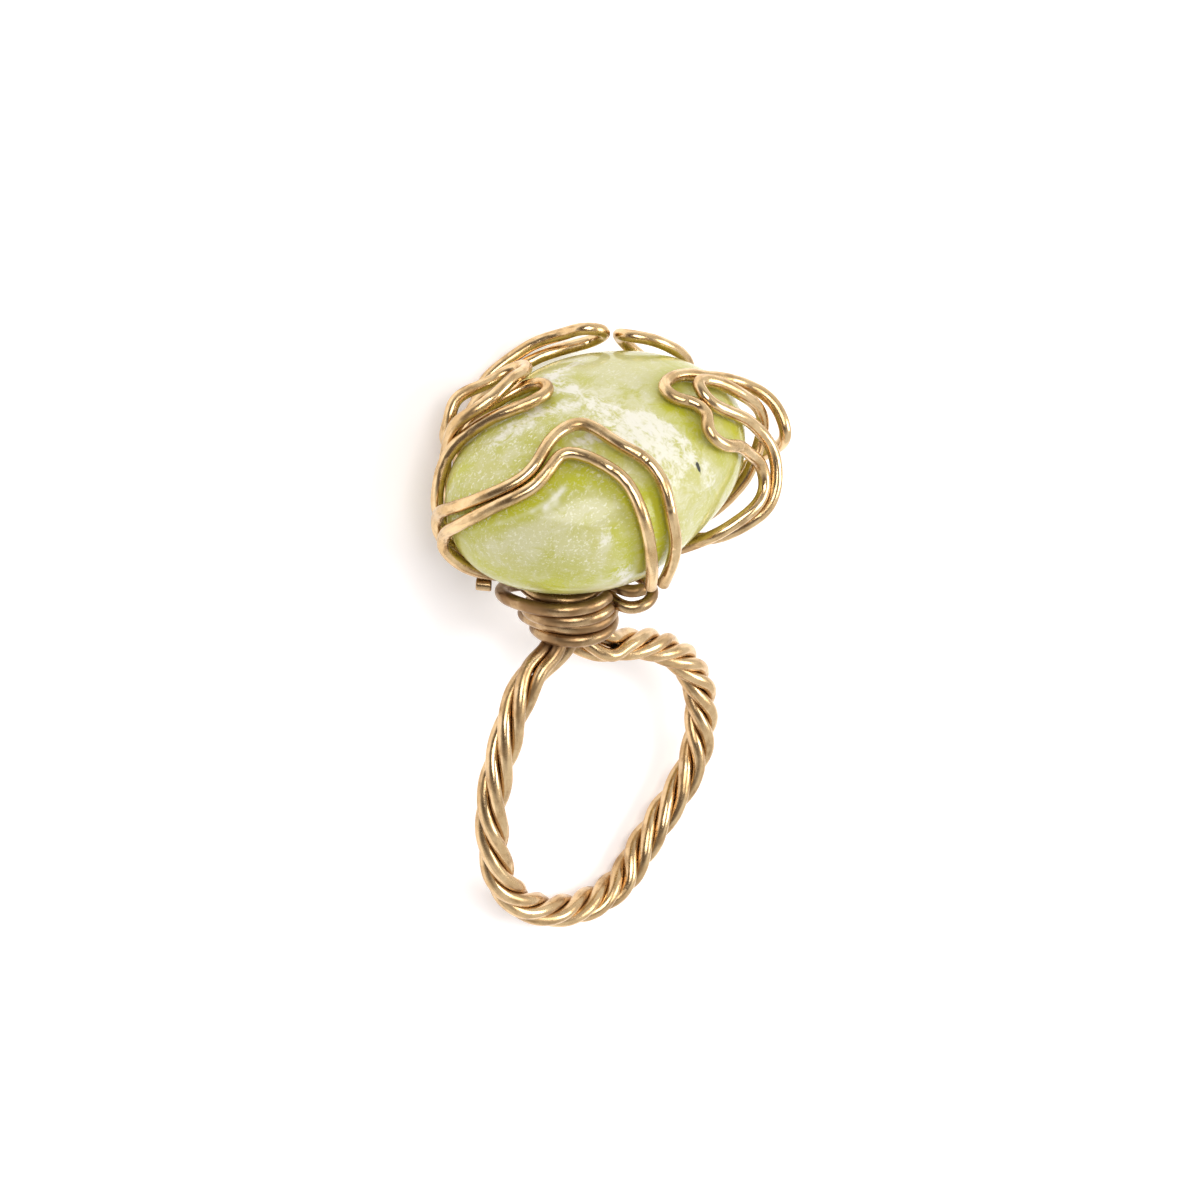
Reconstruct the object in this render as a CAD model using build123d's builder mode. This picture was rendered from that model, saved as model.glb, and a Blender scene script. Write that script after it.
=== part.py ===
from build123d import *
import os
from collections import namedtuple
import numpy as np
from scipy.spatial import ConvexHull

# A finger ring of twisted bronze wire that grips a polished green pebble, in millimetres.
# It is worked out upright, as worn: X across the band, Y along the finger, Z up through the
# neck to the stone, from the middle of the band. Then it is laid on its side on Z = 0.

os.makedirs("parts", exist_ok=True)

# Driving sizes
wire = 0.9                  # diameter of the wire
gap = 0.06                  # free space between neighbouring wires
finger_bore = 18.6          # mean inner diameter of the band
stone_across = 20.2         # mean diameter of the stone seen from above
stone_crown = 5.8           # stone's height above its widest line
stone_belly = 6.6           # stone's depth below its widest line
stone_fullness = 2.3        # 2 is an ellipsoid, more is fuller at the shoulders
stone_lean = 13.0           # degrees that the stone leans
lean_side = -44.3           # side it leans to, degrees about Z from -Y
stone_x = -0.1              # the stone's middle, across the band
stone_y = 0.4               # and along the finger

bronze_density = 8.6        # kilogrammes per litre
stone_density = 2.6
section_step = 1.0          # distance between a wire's sections on a straight run
section_turn = 16.0         # degrees that it bends between them
rest_tries = 6              # times the resting plane is worked out again
lying = 0.9                 # least share of Y in a resting plane's direction
edge_slack = 1e-6           # a balance point this far past the feet's edge still counts
face_step = 0.5             # degrees between the points that give the stone's slope
section_looks = 8           # places looked at for each section

# Sizes that follow from them
pitch = wire + gap
point_step = 1.25 * wire                        # between the points of a strand's centre line
stone_share = 0.58                              # the stone's volume as a share of its box
rope_spread = 0.72 * pitch                      # from the rope's centre line to a strand's
lay_room, lay_limit = 0.204, 0.84               # a steep lay needs this much more room
lay_start = 45                                  # where the first strand starts round the rope
loop_radius = finger_bore / 2 + rope_spread + wire / 2
neck_base = loop_radius - 0.45 * wire           # height where the winding starts
neck_height = 7.516 * wire                      # from there to the stone's lowest point
stone_rise = neck_base + neck_height + stone_belly  # height of the stone's widest line

# Waves of the stone's outline: how many round it, their share of its radius, where they peak
Wave = namedtuple("Wave", "count share peak")
outline_waves = [Wave(1, 0.065, 36), Wave(2, 0.160, 50), Wave(4, 0.030, 31)]

# Rope round the finger: angle, reach as a share of loop_radius, turns of lay so far
Rope = namedtuple("Rope", "angle reach turns")
rope_rows = [
    Rope(121, 1.100, 0.11), Rope(135, 1.030, 0.31), Rope(150, 0.965, 0.52),
    Rope(165, 0.950, 0.73), Rope(180, 0.955, 0.93), Rope(195, 0.965, 1.14),
    Rope(210, 1.010, 1.38), Rope(225, 1.030, 1.66), Rope(240, 1.035, 1.94),
    Rope(255, 1.035, 2.22), Rope(270, 1.040, 2.53), Rope(285, 1.020, 2.87),
    Rope(300, 0.935, 3.20), Rope(315, 0.915, 3.46), Rope(330, 0.965, 3.70),
    Rope(345, 1.030, 3.95), Rope(360, 1.050, 4.24), Rope(375, 1.055, 4.55),
    Rope(390, 1.020, 4.86), Rope(405, 0.965, 5.14), Rope(420, 0.925, 5.42),
    Rope(435, 0.900, 5.63),
]

# The rope's left end inside the neck, from the top: x, y and height above neck_base in
# wires, turns of lay
Core = namedtuple("Core", "x y climb turns")
core_rows = [
    Core(-3.00, -0.22, 6.40, -0.30), Core(-2.89, -0.22, 4.40, -0.20),
    Core(-3.05, -0.28, 3.20, -0.12), Core(-3.45, -0.28, 2.19, -0.04),
    Core(-4.33, -0.22, 1.15, 0.04),
]

# Profile of the neck: height above neck_base, winding radius and axis, all in wires
Profile = namedtuple("Profile", "climb reach x y")
neck_profile = [
    Profile(-1.5, 2.95, -2.44, -0.33), Profile(2.2, 2.95, -2.44, -0.33),
    Profile(3.5, 3.00, -2.44, -0.33), Profile(4.5, 3.11, -2.56, -0.33),
    Profile(5.3, 3.78, -3.33, -0.22), Profile(6.6, 3.78, -3.44, -0.11),
    Profile(8.0, 3.67, -3.44, 0.00),
]

# Winding: angle about the neck's axis, climbs of the lowest and the highest wire in wires
Turn = namedtuple("Turn", "angle low high")
coil_rows = [
    Turn(84, 0.90, 4.30), Turn(110, 1.92, 5.28), Turn(135, 2.47, 5.72), Turn(160, 2.76, 5.98),
    Turn(190, 2.82, 6.12), Turn(225, 2.80, 6.18), Turn(270, 2.88, 6.22), Turn(315, 3.08, 6.30),
    Turn(355, 3.30, 6.60), Turn(395, 3.70, 7.05),
]
coil_start = 88                                 # the strands join the winding behind the neck
coil_ends = [395, 395, 292, 292]                # angle where each wound wire stops, from below
coil_order = [0, 2, 3, 1]                       # level that each strand of the rope takes
coil_stagger = 1.45                             # odd levels start this far out, in wires
coil_inward = [90, 190]                         # and come in between these angles
coil_turn = 16                                  # degrees between the points of a winding

# Rows of a bent wire. On the stone: turn round it, rise above its widest line, centre line's
# lift off its face in wires. On the neck: angle, climb and distance out, in wires
Stone = namedtuple("Stone", "turn rise lift")
Neck = namedtuple("Neck", "angle climb out")
front_outer_rows = [
    Stone(204, -41, 0.65), Stone(204, -35, 0.65), Stone(204, -28, 0.65), Stone(204, -18, 0.65),
    Stone(204, -8, 0.75), Stone(206, 0, 0.65), Stone(213, 7.5, 0.6), Stone(220, 13, 0.6),
    Stone(229, 21, 0.6), Stone(236, 28, 0.6), Stone(239.5, 34.5, 0.7), Stone(239, 44.5, 0.8),
    Stone(244, 58, 0.8), Stone(259, 63.5, 0.8), Stone(283, 58, 0.8), Stone(297, 46.5, 0.8),
    Stone(306, 37, 0.8), Stone(308.5, 26, 0.8), Stone(307.5, 13, 0.7), Stone(308, 0, 0.7),
    Stone(307.5, -12, 0.8), Stone(306, -26, 1.15),
]
front_inner_rows = [
    Neck(283, 6.35, -1.05), Neck(255, 6.4, -1.05), Neck(228, 6.45, -1.05), Neck(205, 6.5, -1.0),
    Neck(190, 6.55, -0.9), Stone(220, -42, 0.6), Stone(213, -34, 0.6), Stone(211.5, -21, 0.7),
    Stone(210.5, -10, 0.8), Stone(213, -3, 0.65), Stone(218, 3.5, 0.6), Stone(227, 12.5, 0.6),
    Stone(235.5, 20, 0.6), Stone(244, 28, 0.6), Stone(248.5, 37, 0.7), Stone(253.5, 43, 0.8),
    Stone(264, 44, 0.8), Stone(279.5, 39, 0.8), Stone(289, 31, 0.8), Stone(292.5, 20.5, 0.8),
    Stone(294.5, 8, 0.7), Stone(295.5, -4, 0.7), Stone(297, -14, 0.75), Stone(298, -22, 1.0),
]
left_near_rows = [
    Stone(192, -50, 0.65), Stone(195, -42, 0.65), Stone(196, -33, 0.6), Stone(196, -20, 0.6),
    Stone(197, -8, 0.6), Stone(196, 3, 0.6), Stone(191, 13, 0.65), Stone(188, 23, 0.6),
    Stone(186, 33, 0.6), Stone(184, 46, 0.6), Stone(177, 57, 0.65), Stone(160, 62.5, 0.7),
    Stone(145, 56, 0.65), Stone(150, 46, 0.6), Stone(161, 37, 0.6), Stone(167, 28, 0.6),
    Stone(170, 15, 0.6), Stone(171, 0, 0.6), Stone(172.5, -18, 0.6), Stone(172.5, -36, 0.6),
]
left_far_rows = [
    Stone(179, -54, 0.65), Stone(182, -45, 0.65), Stone(184, -33, 0.6), Stone(184, -18, 0.6),
    Stone(184, -6, 0.6), Stone(183, 6, 0.75), Stone(184, 15, 1.05), Stone(186, 23, 1.65),
    Stone(186, 31, 1.8), Stone(181, 38, 1.85), Stone(171, 43.5, 1.95), Stone(157, 46, 1.90),
    Stone(142, 44.5, 1.5), Stone(131, 36, 1.2), Stone(137, 28.5, 1.35), Stone(149, 25.5, 1.8),
    Stone(159, 23.5, 2.35), Stone(167, 20.5, 2.6), Stone(173, 16.5, 2.1), Stone(173, 10, 1.8),
    Stone(168, 1, 1.6), Stone(164.5, -10, 0.9), Stone(163, -22, 0.6), Stone(163, -34, 0.6),
]
back_left_rows = [
    Stone(150, -62, 0.65), Stone(147, -47, 0.6), Stone(145.5, -30, 0.6), Stone(145, -14, 0.6),
    Stone(145, -2, 0.85), Stone(142.5, 6.5, 1.6), Stone(132, 12, 2.1),
    Stone(119, 16.5, 1.95), Stone(107, 20.8, 1.88), Stone(98, 24.5, 1.85), Stone(91, 28, 1.95),
    Stone(84.5, 27, 1.75), Stone(83, 21, 1.25), Stone(88, 17.5, 0.95), Stone(96, 18.5, 0.8),
    Stone(107, 19, 0.8), Stone(119, 16, 0.9), Stone(131, 14, 1.05), Stone(143, 14.5, 1.35),
    Stone(152, 12.5, 1.4), Stone(156, 4, 1.2), Stone(155, -7, 0.8), Stone(154, -20, 0.65),
]
back_right_rows = [
    Neck(36, 7.1, 0.4), Stone(58, -58, 0.65), Stone(57, -42, 0.65), Stone(56, -22, 0.65),
    Stone(55, -4, 0.65), Stone(56, 7, 0.65), Stone(58.5, 16, 0.7), Stone(64, 22, 1.0),
    Stone(73, 23.5, 1.2), Stone(77, 18, 1.2), Stone(75, 11, 0.85), Stone(69, 3, 0.65),
    Stone(68, -10, 0.65), Stone(69, -25, 0.65), Stone(70, -37, 0.65),
]
right_near_rows = [
    Stone(-13, -62, 0.70), Stone(-12, -54, 0.70), Stone(-10, -46, 0.65), Stone(-11, -34, 0.65),
    Stone(-11, -25, 0.9), Stone(-5, -18, 1.5), Stone(2, -13, 2.1), Stone(8, -9, 2.1),
    Stone(10, -3, 1.4), Stone(6, 4, 0.8), Stone(1, 11.5, 0.8), Stone(-6, 19, 0.8),
    Stone(-5, 26, 0.85), Stone(3, 28.5, 0.8), Stone(8, 33, 0.65), Stone(10, 40, 0.6),
    Stone(18, 44, 0.65), Stone(28, 40, 0.6), Stone(31, 32, 0.6), Stone(30, 24, 0.6),
    Stone(31, 16, 0.7), Stone(30, 10, 1.4), Stone(25, 5, 2.6), Stone(21, 0, 3.1),
    Stone(24, -7, 2.6), Stone(27, -14, 1.7), Stone(27, -23, 0.9), Stone(27, -34, 0.6),
    Stone(28, -44, 0.6),
]
right_far_rows = [
    Neck(12, 6.4, 0.3), Stone(7, -62, 0.65), Stone(5, -50, 0.65), Stone(2, -38, 1.0),
    Stone(1, -28, 1.7), Stone(3, -20, 2.4), Stone(7, -13.5, 3.0), Stone(12, -7, 2.75),
    Stone(15, 0, 1.95), Stone(15, 7, 1.1), Stone(12.5, 15.5, 0.75), Stone(10.5, 23, 0.75),
    Stone(12.5, 29.5, 1.0), Stone(19, 31.5, 1.2), Stone(23, 25, 1.15), Stone(22.5, 16, 1.0),
    Stone(23.5, 9, 1.2), Stone(23.5, 3, 1.4), Stone(21, -4, 1.1), Stone(17, -11, 0.8),
    Stone(15, -19, 0.65), Stone(14, -30, 0.65), Stone(14, -42, 0.65),
]
tail_rows = [Neck(137.5, 6.50, 1.70), Neck(137, 6.52, 2.30), Neck(136.5, 6.55, 2.90)]

# The short coil that binds the two front claws' ends: axis and radius in wires
side_x, side_y, side_reach = 1.12, -2.95, 1.76
Side = namedtuple("Side", "angle climb")
side_rows = [
    Side(-206, 5.46), Side(-180, 5.18), Side(-134, 4.80), Side(-90, 4.85), Side(-44, 5.20),
    Side(0, 5.60), Side(46, 5.98), Side(90, 6.27), Side(136, 6.53), Side(180, 6.46),
    Side(226, 6.20), Side(262, 6.25),
]


def ease(at, rows, column):
    """Smooth curve through a table's column against its first column."""
    x = np.array([row[0] for row in rows], float)
    y = np.array([getattr(row, column) for row in rows], float)
    slope = np.gradient(y, x)
    i = np.clip(np.searchsorted(x, at) - 1, 0, len(x) - 2)
    h = x[i + 1] - x[i]
    t = np.clip((at - x[i]) / h, 0, 1)
    return (y[i] * (1 + 2 * t) * (1 - t) ** 2 + y[i + 1] * t * t * (3 - 2 * t)
            + h * (slope[i] * t * (1 - t) ** 2 + slope[i + 1] * t * t * (t - 1)))


def direction(turn, rise):
    """Unit vector from the stone's middle, by its turn and rise in degrees."""
    lean, side = np.radians(stone_lean), np.radians(lean_side)
    up = np.array([np.sin(lean) * np.sin(side), -np.sin(lean) * np.cos(side), np.cos(lean)])
    right = np.array([np.cos(side), np.sin(side), 0])
    t, p = np.radians(turn), np.radians(rise)
    return (np.cos(p) * np.cos(t) * right + np.cos(p) * np.sin(t) * np.cross(up, right)
            + np.sin(p) * up)


def outline(turn):
    """Radius of the stone's widest line."""
    return stone_across / 2 * (1 + sum(
        w.share * np.cos(np.radians(w.count * (turn - w.peak))) for w in outline_waves))


def stone_face(turn, rise):
    """Point of the stone's face: a rounded ellipsoid with a waved outline."""
    height = stone_crown if rise > 0 else stone_belly
    p = np.radians(rise)
    reach = ((np.cos(p) / outline(turn)) ** stone_fullness
             + (abs(np.sin(p)) / height) ** stone_fullness) ** (-1 / stone_fullness)
    return np.array([stone_x, stone_y, stone_rise]) + reach * direction(turn, rise)


def off_stone(row):
    """Point that stands off the stone's face by the row's lift."""
    ahead, behind = row.turn + face_step, row.turn - face_step
    above, below = row.rise + face_step, row.rise - face_step
    along = stone_face(ahead, row.rise) - stone_face(behind, row.rise)
    upward = stone_face(row.turn, above) - stone_face(row.turn, below)
    out = np.cross(along, upward)
    lift = row.lift * wire + gap / 2
    return stone_face(row.turn, row.rise) + lift * out / np.linalg.norm(out)


def off_neck(row):
    """Point by the neck's axis angle, climb and distance out from the winding."""
    reach, x, y = (wire * ease(row.climb, neck_profile, c) for c in ("reach", "x", "y"))
    a, r = np.radians(row.angle), reach + row.out * wire
    return np.array([x + r * np.cos(a), y + r * np.sin(a), neck_base + row.climb * wire])


def bent(rows):
    """Points of a bent wire from its rows."""
    return np.array([off_neck(r) if isinstance(r, Neck) else off_stone(r) for r in rows])


def strand(number):
    """Centre line of one strand of the rope, from the neck's top round the finger."""
    middle = [(wire * c.x, wire * c.y, neck_base + wire * c.climb, c.turns) for c in core_rows]
    for row in rope_rows:
        a, r = np.radians(row.angle), loop_radius * row.reach
        middle.append((r * np.cos(a), 0, r * np.sin(a), row.turns))
    middle = np.array(middle)
    run = np.r_[0, np.cumsum(np.linalg.norm(np.diff(middle[:, :3], axis=0), axis=1))]
    Step = namedtuple("Step", "run x y z turns")
    table = [Step(*row) for row in np.c_[run, middle]]
    at = np.linspace(0, run[-1], int(run[-1] / point_step))
    x, y, z, turns = (ease(at, table, c) for c in ("x", "y", "z", "turns"))
    centre = np.c_[x, y, z]
    ahead = np.gradient(centre, at, axis=0)
    ahead /= np.linalg.norm(ahead, axis=1, keepdims=True)
    side = np.cross([0, 1, 0], ahead)
    side /= np.linalg.norm(side, axis=1, keepdims=True)
    lay = 2 * np.pi * np.gradient(turns, at) * rope_spread
    spread = rope_spread + lay_room * pitch * np.clip(lay, 0, lay_limit) ** 2
    phase = np.radians(lay_start + number * 90) - 2 * np.pi * turns
    return (centre + (spread * np.cos(phase))[:, None] * side
            + (spread * np.sin(phase))[:, None] * np.cross(ahead, side))


def winding(number):
    """Centre line of a strand's far end, from behind the neck round its front."""
    level = coil_order[number]
    last = coil_ends[level]
    turns = np.linspace(coil_start, last, 2 + int((last - coil_start) / coil_turn))
    wound = []
    for angle in turns:
        low, high = (ease(angle, coil_rows, c) for c in ("low", "high"))
        climb = low + (high - low) * level / (len(coil_order) - 1)
        out = level % 2 * coil_stagger * np.interp(angle, coil_inward, [1, 0])
        wound.append(off_neck(Neck(angle, climb, out)))
    end, before = strand(number)[[-1, -2]]
    ahead = (end - before) / np.linalg.norm(end - before)
    return np.vstack([end + gap * ahead, end + pitch * ahead, wound])


def side_coil_path():
    """Centre line of the short coil in front of the neck."""
    first, last = side_rows[0].angle, side_rows[-1].angle
    angles = np.linspace(first, last, 2 + int((last - first) / coil_turn))
    a, climb = np.radians(angles), ease(angles, side_rows, "climb")
    return wire * np.c_[side_x + side_reach * np.cos(a), side_y + side_reach * np.sin(a),
                        neck_base / wire + climb]


def rest_plane(wires, stone_points):
    """A point and the outward normal of the plane on which the ring lies without tipping."""
    wire_mass = bronze_density * np.pi * (wire / 2) ** 2 * point_step * len(wires)
    stone_mass = stone_density * stone_share * (stone_crown + stone_belly) * stone_across ** 2
    middle = stone_points.mean(axis=0)
    balance = (wires.mean(axis=0) * wire_mass + middle * stone_mass) / (wire_mass + stone_mass)
    down = np.array([0.0, 1.0, 0.0])
    for _ in range(rest_tries):
        points = np.vstack([wires + down * wire / 2, stone_points])
        hull = ConvexHull(points)
        for corners, normal in zip(points[hull.simplices], hull.equations[:, :3]):
            foot = balance - normal * ((balance - corners[0]) @ normal)
            share = np.linalg.lstsq(np.vstack([corners.T, [1, 1, 1]]), np.r_[foot, 1],
                                    rcond=None)[0]
            if normal[1] > lying and share.min() > -edge_slack:
                touch, next_down = corners[0], normal
        down = next_down
    return touch, down


# Solids
strands = [strand(number) for number in range(4)]
windings = [winding(number) for number in range(4)]
claws = {
    "front_claw_outer": bent(front_outer_rows), "front_claw_inner": bent(front_inner_rows),
    "left_claw_near": bent(left_near_rows), "left_claw_far": bent(left_far_rows),
    "back_claw_left": bent(back_left_rows), "back_claw_right": bent(back_right_rows),
    "right_claw_near": bent(right_near_rows), "right_claw_far": bent(right_far_rows),
    "side_coil": side_coil_path(), "wire_tail": bent(tail_rows),
}
stone_points = np.array([stone_face(turn, rise) for turn in range(0, 360, 3)
                         for rise in range(-87, 90, 3)])
touch, down = rest_plane(np.vstack(strands + list(claws.values())), stone_points)
toward_stone = np.array([0, 0, 1]) - down * down[2]
toward_stone /= np.linalg.norm(toward_stone)
across = np.cross(toward_stone, -down)


def lay(points):
    """Upright points turned onto the ring's side, with the resting plane at Z = 0."""
    return (np.atleast_2d(points) - touch) @ np.array([across, toward_stone, -down]).T


def stations(line):
    """Places along a line for a wire's sections, closer together where it bends."""
    fine = np.linspace(0, 1, int(line.length / section_step * section_looks))
    ahead = np.array([tuple(line % t) for t in fine])
    turned = np.degrees(np.arccos(np.clip((ahead[1:] * ahead[:-1]).sum(axis=1), -1, 1)))
    need = np.r_[0, np.cumsum(turned / section_turn)] + fine * line.length / section_step
    return np.interp(np.linspace(0, need[-1], int(np.ceil(need[-1])) + 1), need, fine)


def wire_solid(name, path):
    """A round wire, lofted through circles along a smooth curve through the path's points."""
    line = Spline(*[tuple(p) for p in lay(path)])
    side = across
    with BuildPart() as piece:
        for t in stations(line):
            ahead = np.array(tuple(line % t))
            side = side - ahead * (side @ ahead)
            side = side / np.linalg.norm(side)
            with BuildSketch(Plane(origin=line @ t, x_dir=tuple(side), z_dir=tuple(ahead))):
                Circle(wire / 2)
        loft(ruled=True)
    piece.part.label = name
    return piece


pieces = [wire_solid(f"band_strand_{n + 1}", strands[n]) for n in range(4)]
pieces += [wire_solid(f"neck_wire_{n + 1}", windings[n]) for n in range(4)]
pieces += [wire_solid(name, path) for name, path in claws.items()]

# Stone: its outline, shrunk level by level towards the crown and the belly
levels = [-0.9985, -0.985, -0.94, -0.86, -0.74, -0.58, -0.40, -0.20,
          0, 0.20, 0.40, 0.58, 0.74, 0.86, 0.94, 0.985, 0.9985]
turns = range(0, 360, 12)
up = lay(direction(0, 90) + touch)[0]
right = lay(direction(0, 0) + touch)[0]
stone_middle = lay([stone_x, stone_y, stone_rise])[0]

with BuildPart() as stone:
    for level in levels:
        height = level * (stone_crown if level > 0 else stone_belly)
        share = (1 - abs(level) ** stone_fullness) ** (1 / stone_fullness)
        face = Plane(origin=tuple(stone_middle + height * up), x_dir=tuple(right), z_dir=tuple(up))
        with BuildSketch(face):
            with BuildLine():
                Spline(*[(share * outline(t) * np.cos(np.radians(t)),
                          share * outline(t) * np.sin(np.radians(t))) for t in turns],
                       periodic=True)
            make_face()
    loft()
stone.part.label = "stone"
pieces.append(stone)

# The ring is set down on Z = 0, in the middle of X and Y
boxes = [piece.part.bounding_box() for piece in pieces]
low = Vector(*(min(getattr(b.min, c) for b in boxes) for c in "XYZ"))
high = Vector(*(max(getattr(b.max, c) for b in boxes) for c in "XYZ"))
home = Pos(-(low.X + high.X) / 2, -(low.Y + high.Y) / 2, -low.Z)
for piece in pieces:
    placed = home * piece.part
    placed.label = piece.part.label
    export_step(placed, f"parts/{placed.label}.step")
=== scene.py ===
from collections import namedtuple

import bpy
import numpy as np
from mathutils import Matrix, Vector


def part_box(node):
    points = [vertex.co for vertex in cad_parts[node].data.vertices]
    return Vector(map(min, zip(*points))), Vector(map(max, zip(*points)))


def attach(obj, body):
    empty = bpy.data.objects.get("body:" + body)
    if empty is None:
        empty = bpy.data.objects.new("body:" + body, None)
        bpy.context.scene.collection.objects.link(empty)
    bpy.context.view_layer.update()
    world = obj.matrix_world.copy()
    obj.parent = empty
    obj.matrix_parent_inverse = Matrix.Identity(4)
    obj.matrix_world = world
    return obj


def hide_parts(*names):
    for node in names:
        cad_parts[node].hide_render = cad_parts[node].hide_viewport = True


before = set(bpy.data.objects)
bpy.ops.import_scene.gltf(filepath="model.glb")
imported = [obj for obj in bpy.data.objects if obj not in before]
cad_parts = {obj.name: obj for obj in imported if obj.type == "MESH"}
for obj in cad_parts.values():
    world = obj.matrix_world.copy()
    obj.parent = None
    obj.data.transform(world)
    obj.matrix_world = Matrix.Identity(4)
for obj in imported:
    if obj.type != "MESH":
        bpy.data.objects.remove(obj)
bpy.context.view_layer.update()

# A finger ring of twisted bronze wire round a polished green pebble. Shapes are worked out in
# millimetres, upright, as the solids are, and then laid on the ring's side in the frame.

MM = 0.001                  # metres in a millimetre

# Sizes of the solids, in millimetres and degrees
wire = 0.9                  # diameter of the wire
gap = 0.06                  # free space between neighbouring wires
finger_bore = 18.6          # mean inner diameter of the band
stone_across = 20.2         # mean diameter of the stone seen from above
stone_crown = 5.8           # stone's height above its widest line
stone_belly = 6.6           # stone's depth below its widest line
stone_fullness = 2.3        # 2 is an ellipsoid, more is fuller at the shoulders
stone_lean = 13.0           # degrees that the stone leans
lean_side = -44.3           # side it leans to, degrees about Z from -Y
stone_x = -0.1              # the stone's middle, across the band
stone_y = 0.4               # and along the finger
lies_back = 13.488          # the lying ring's underside faces Y, turned this much towards -Z
lies_over = 5.876           # and this much towards X
face_step = 0.5             # degrees between the points that give the stone's slope

# Sizes that follow from them
pitch = wire + gap
point_step = 1.25 * wire                        # between the points of a strand's centre line
rope_spread = 0.72 * pitch                      # from the rope's centre line to a strand's
lay_room, lay_limit = 0.204, 0.84               # a steep lay needs this much more room
lay_start = 45                                  # where the first strand starts round the rope
loop_radius = finger_bore / 2 + rope_spread + wire / 2
neck_base = loop_radius - 0.45 * wire           # height where the winding starts
neck_height = 7.516 * wire                      # from there to the stone's lowest point
stone_rise = neck_base + neck_height + stone_belly  # height of the stone's widest line

# Waves of the stone's outline: how many round it, their share of its radius, where they peak
Wave = namedtuple("Wave", "count share peak")
outline_waves = [Wave(1, 0.065, 36), Wave(2, 0.160, 50), Wave(4, 0.030, 31)]

# Rope round the finger: angle, reach as a share of loop_radius, turns of lay so far
Rope = namedtuple("Rope", "angle reach turns")
rope_rows = [
    Rope(121, 1.100, 0.11), Rope(135, 1.030, 0.31), Rope(150, 0.965, 0.52),
    Rope(165, 0.950, 0.73), Rope(180, 0.955, 0.93), Rope(195, 0.965, 1.14),
    Rope(210, 1.010, 1.38), Rope(225, 1.030, 1.66), Rope(240, 1.035, 1.94),
    Rope(255, 1.035, 2.22), Rope(270, 1.040, 2.53), Rope(285, 1.020, 2.87),
    Rope(300, 0.935, 3.20), Rope(315, 0.915, 3.46), Rope(330, 0.965, 3.70),
    Rope(345, 1.030, 3.95), Rope(360, 1.050, 4.24), Rope(375, 1.055, 4.55),
    Rope(390, 1.020, 4.86), Rope(405, 0.965, 5.14), Rope(420, 0.925, 5.42),
    Rope(435, 0.900, 5.63),
]

# The rope's left end inside the neck, from the top: x, y and height above neck_base in
# wires, turns of lay
Core = namedtuple("Core", "x y climb turns")
core_rows = [
    Core(-3.00, -0.22, 6.40, -0.30), Core(-2.89, -0.22, 4.40, -0.20),
    Core(-3.05, -0.28, 3.20, -0.12), Core(-3.45, -0.28, 2.19, -0.04),
    Core(-4.33, -0.22, 1.15, 0.04),
]

# Profile of the neck: height above neck_base, winding radius and axis, all in wires
Profile = namedtuple("Profile", "climb reach x y")
neck_profile = [
    Profile(-1.5, 2.95, -2.44, -0.33), Profile(2.2, 2.95, -2.44, -0.33),
    Profile(3.5, 3.00, -2.44, -0.33), Profile(4.5, 3.11, -2.56, -0.33),
    Profile(5.3, 3.78, -3.33, -0.22), Profile(6.6, 3.78, -3.44, -0.11),
    Profile(8.0, 3.67, -3.44, 0.00),
]

# Winding: angle about the neck's axis, climbs of the lowest and the highest wire in wires
Turn = namedtuple("Turn", "angle low high")
coil_rows = [
    Turn(84, 0.90, 4.30), Turn(110, 1.92, 5.28), Turn(135, 2.47, 5.72), Turn(160, 2.76, 5.98),
    Turn(190, 2.82, 6.12), Turn(225, 2.80, 6.18), Turn(270, 2.88, 6.22), Turn(315, 3.08, 6.30),
    Turn(355, 3.30, 6.60), Turn(395, 3.70, 7.05),
]
coil_start = 88                                 # the strands join the winding behind the neck
coil_ends = [395, 395, 292, 292]                # angle where each wound wire stops, from below
coil_order = [0, 2, 3, 1]                       # level that each strand of the rope takes
coil_stagger = 1.45                             # odd levels start this far out, in wires
coil_inward = [90, 190]                         # and come in between these angles
coil_turn = 16                                  # degrees between the points of a winding

# Rows of a bent wire. On the stone: turn round it, rise above its widest line, centre line's
# lift off its face in wires. On the neck: angle, climb and distance out, in wires
Stone = namedtuple("Stone", "turn rise lift")
Neck = namedtuple("Neck", "angle climb out")
front_outer_rows = [
    Stone(204, -41, 0.65), Stone(204, -35, 0.65), Stone(204, -28, 0.65), Stone(204, -18, 0.65),
    Stone(204, -8, 0.75), Stone(206, 0, 0.65), Stone(213, 7.5, 0.6), Stone(220, 13, 0.6),
    Stone(229, 21, 0.6), Stone(236, 28, 0.6), Stone(239.5, 34.5, 0.7), Stone(239, 44.5, 0.8),
    Stone(244, 58, 0.8), Stone(259, 63.5, 0.8), Stone(283, 58, 0.8), Stone(297, 46.5, 0.8),
    Stone(306, 37, 0.8), Stone(308.5, 26, 0.8), Stone(307.5, 13, 0.7), Stone(308, 0, 0.7),
    Stone(307.5, -12, 0.8), Stone(306, -26, 1.15),
]
front_inner_rows = [
    Neck(283, 6.35, -1.05), Neck(255, 6.4, -1.05), Neck(228, 6.45, -1.05), Neck(205, 6.5, -1.0),
    Neck(190, 6.55, -0.9), Stone(220, -42, 0.6), Stone(213, -34, 0.6), Stone(211.5, -21, 0.7),
    Stone(210.5, -10, 0.8), Stone(213, -3, 0.65), Stone(218, 3.5, 0.6), Stone(227, 12.5, 0.6),
    Stone(235.5, 20, 0.6), Stone(244, 28, 0.6), Stone(248.5, 37, 0.7), Stone(253.5, 43, 0.8),
    Stone(264, 44, 0.8), Stone(279.5, 39, 0.8), Stone(289, 31, 0.8), Stone(292.5, 20.5, 0.8),
    Stone(294.5, 8, 0.7), Stone(295.5, -4, 0.7), Stone(297, -14, 0.75), Stone(298, -22, 1.0),
]
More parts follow.
